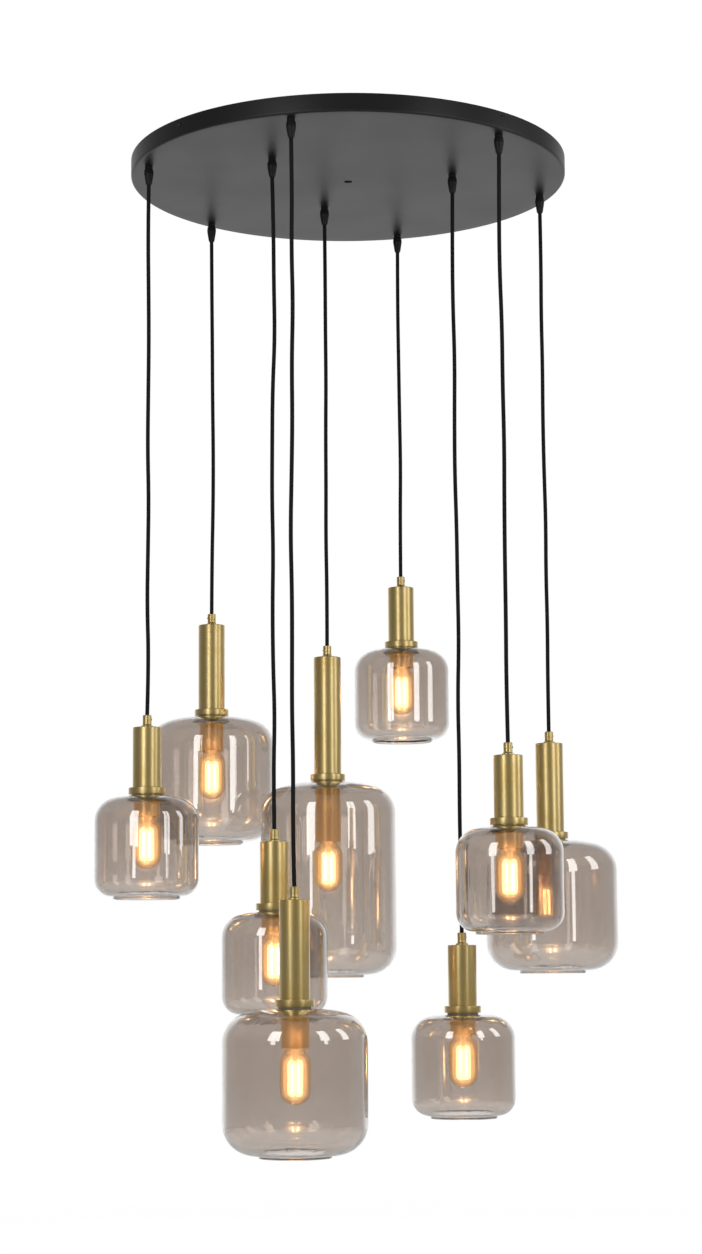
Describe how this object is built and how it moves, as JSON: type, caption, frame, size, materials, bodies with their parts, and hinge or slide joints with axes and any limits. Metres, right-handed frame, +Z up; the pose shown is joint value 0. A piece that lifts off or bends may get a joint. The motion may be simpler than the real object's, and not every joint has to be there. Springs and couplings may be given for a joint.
{
  "type": "cluster pendant lamp",
  "caption": "Cluster pendant: a round black ceiling canopy from which smoked blown-glass shades with filament bulbs hang at mixed heights on textile cords from brass tubes.",
  "frame": {"origin": "centre of the ceiling bracket's top face, which lies against the ceiling", "axes": "+Z up, out of the ceiling face; +X to the right and +Y away from the viewer in the picture's view"},
  "size_m": [0.8163, 0.8163, 1.5576],
  "materials": {
    "canopy_black": "satin black powder coat",
    "galvanised_steel": "galvanised",
    "black_screw": "blackened steel",
    "black_plastic": "matt",
    "white_plastic": "matt",
    "textile_cord": "black woven braid",
    "satin_brass": "brushed, lacquered",
    "smoked_glass": "mouth-blown, smoke grey",
    "bulb_glass": "clear, slightly amber"
  },
  "bodies": {
    "ceiling": {"canopy_pan": "canopy_black", "ceiling_bracket": "galvanised_steel", "canopy_screws": "black_screw", "cord_grips": "black_plastic", "terminal_box": "white_plastic", "inner_leads": "textile_cord"},
    "hanging_cord_1": {"cord_1": "textile_cord"},
    "lamp_1": {"tube_1": "satin_brass", "collar_1": "satin_brass", "sleeve_1": "satin_brass", "shade_1": "smoked_glass", "bulb_1": "bulb_glass"},
    "hanging_cord_2": {"cord_2": "textile_cord"},
    "lamp_2": {"tube_2": "satin_brass", "collar_2": "satin_brass", "sleeve_2": "satin_brass", "shade_2": "smoked_glass", "bulb_2": "bulb_glass"},
    "hanging_cord_3": {"cord_3": "textile_cord"},
    "lamp_3": {"tube_3": "satin_brass", "collar_3": "satin_brass", "sleeve_3": "satin_brass", "shade_3": "smoked_glass", "bulb_3": "bulb_glass"},
    "hanging_cord_4": {"cord_4": "textile_cord"},
    "lamp_4": {"tube_4": "satin_brass", "collar_4": "satin_brass", "sleeve_4": "satin_brass", "shade_4": "smoked_glass", "bulb_4": "bulb_glass"},
    "hanging_cord_5": {"cord_5": "textile_cord"},
    "lamp_5": {"tube_5": "satin_brass", "collar_5": "satin_brass", "sleeve_5": "satin_brass", "shade_5": "smoked_glass", "bulb_5": "bulb_glass"},
    "hanging_cord_6": {"cord_6": "textile_cord"},
    "lamp_6": {"tube_6": "satin_brass", "collar_6": "satin_brass", "sleeve_6": "satin_brass", "shade_6": "smoked_glass", "bulb_6": "bulb_glass"},
    "hanging_cord_7": {"cord_7": "textile_cord"},
    "lamp_7": {"tube_7": "satin_brass", "collar_7": "satin_brass", "sleeve_7": "satin_brass", "shade_7": "smoked_glass", "bulb_7": "bulb_glass"},
    "hanging_cord_8": {"cord_8": "textile_cord"},
    "lamp_8": {"tube_8": "satin_brass", "collar_8": "satin_brass", "sleeve_8": "satin_brass", "shade_8": "smoked_glass", "bulb_8": "bulb_glass"},
    "hanging_cord_9": {"cord_9": "textile_cord"},
    "lamp_9": {"tube_9": "satin_brass", "collar_9": "satin_brass", "sleeve_9": "satin_brass", "shade_9": "smoked_glass", "bulb_9": "bulb_glass"}
  },
  "joints": [
    {"name": "swing_1", "type": "hinge", "parent": "ceiling", "child": "hanging_cord_1", "pos_m": [-0.31586, -0.08463, -0.0575], "axis": [-0.2588, 0.9659, 0], "range_deg": [-2, 10]},
    {"name": "tilt_1", "type": "hinge", "parent": "hanging_cord_1", "child": "lamp_1", "pos_m": [-0.31586, -0.08463, -0.901], "axis": [-0.9659, -0.2588, 0], "range_deg": [-5, 5]},
    {"name": "swing_2", "type": "hinge", "parent": "ceiling", "child": "hanging_cord_2", "pos_m": [-0.23425, 0.24088, -0.0575], "axis": [0.7169, 0.6972, 0], "range_deg": [0, 10]},
    {"name": "tilt_2", "type": "hinge", "parent": "hanging_cord_2", "child": "lamp_2", "pos_m": [-0.23425, 0.24088, -0.7], "axis": [-0.6972, 0.7169, 0], "range_deg": [0, 5]},
    {"name": "swing_3", "type": "hinge", "parent": "ceiling", "child": "hanging_cord_3", "pos_m": [-0.0401, 0.14558, -0.0575], "axis": [0.9641, 0.2656, 0], "range_deg": [-4, 0]},
    {"name": "tilt_3", "type": "hinge", "parent": "hanging_cord_3", "child": "lamp_3", "pos_m": [-0.0401, 0.14558, -0.767], "axis": [-0.2656, 0.9641, 0], "range_deg": [-5, 0]},
    {"name": "swing_4", "type": "hinge", "parent": "ceiling", "child": "hanging_cord_4", "pos_m": [-0.11915, -0.12125, -0.0575], "axis": [-0.7133, 0.7009, 0], "range_deg": [0, 5]},
    {"name": "tilt_4", "type": "hinge", "parent": "hanging_cord_4", "child": "lamp_4", "pos_m": [-0.11915, -0.12125, -1.08], "axis": [-0.7009, -0.7133, 0], "range_deg": [-5, 5]},
    {"name": "swing_5", "type": "hinge", "parent": "ceiling", "child": "hanging_cord_5", "pos_m": [0.08463, 0.31586, -0.0575], "axis": [0.9659, -0.2588, 0], "range_deg": [-2, 10]},
    {"name": "tilt_5", "type": "hinge", "parent": "hanging_cord_5", "child": "lamp_5", "pos_m": [0.08463, 0.31586, -0.628], "axis": [0.2588, 0.9659, 0], "range_deg": [-5, 5]},
    {"name": "swing_6", "type": "hinge", "parent": "ceiling", "child": "hanging_cord_6", "pos_m": [0.23122, -0.23122, -0.0575], "axis": [-0.7071, -0.7071, 0], "range_deg": [-2, 10]},
    {"name": "tilt_6", "type": "hinge", "parent": "hanging_cord_6", "child": "lamp_6", "pos_m": [0.23122, -0.23122, -0.96], "axis": [0.7071, -0.7071, 0], "range_deg": [-5, 5]},
    {"name": "swing_7", "type": "hinge", "parent": "ceiling", "child": "hanging_cord_7", "pos_m": [0.31586, 0.08463, -0.0575], "axis": [0.2588, -0.9659, 0], "range_deg": [-2, 10]},
    {"name": "tilt_7", "type": "hinge", "parent": "hanging_cord_7", "child": "lamp_7", "pos_m": [0.31586, 0.08463, -0.916], "axis": [0.9659, 0.2588, 0], "range_deg": [-5, 5]},
    {"name": "swing_8", "type": "hinge", "parent": "ceiling", "child": "hanging_cord_8", "pos_m": [-0.08463, -0.31586, -0.0575], "axis": [-0.9659, 0.2588, 0], "range_deg": [-1, 10]},
    {"name": "tilt_8", "type": "hinge", "parent": "hanging_cord_8", "child": "lamp_8", "pos_m": [-0.08463, -0.31586, -1.173], "axis": [-0.2588, -0.9659, 0], "range_deg": [-5, 5]},
    {"name": "swing_9", "type": "hinge", "parent": "ceiling", "child": "hanging_cord_9", "pos_m": [0.16742, -0.02952, -0.0575], "axis": [-0.1736, -0.9848, 0], "range_deg": [-2, 4]},
    {"name": "tilt_9", "type": "hinge", "parent": "hanging_cord_9", "child": "lamp_9", "pos_m": [0.16742, -0.02952, -1.237], "axis": [0.9848, -0.1736, 0], "range_deg": [-5, 5]}
  ]
}
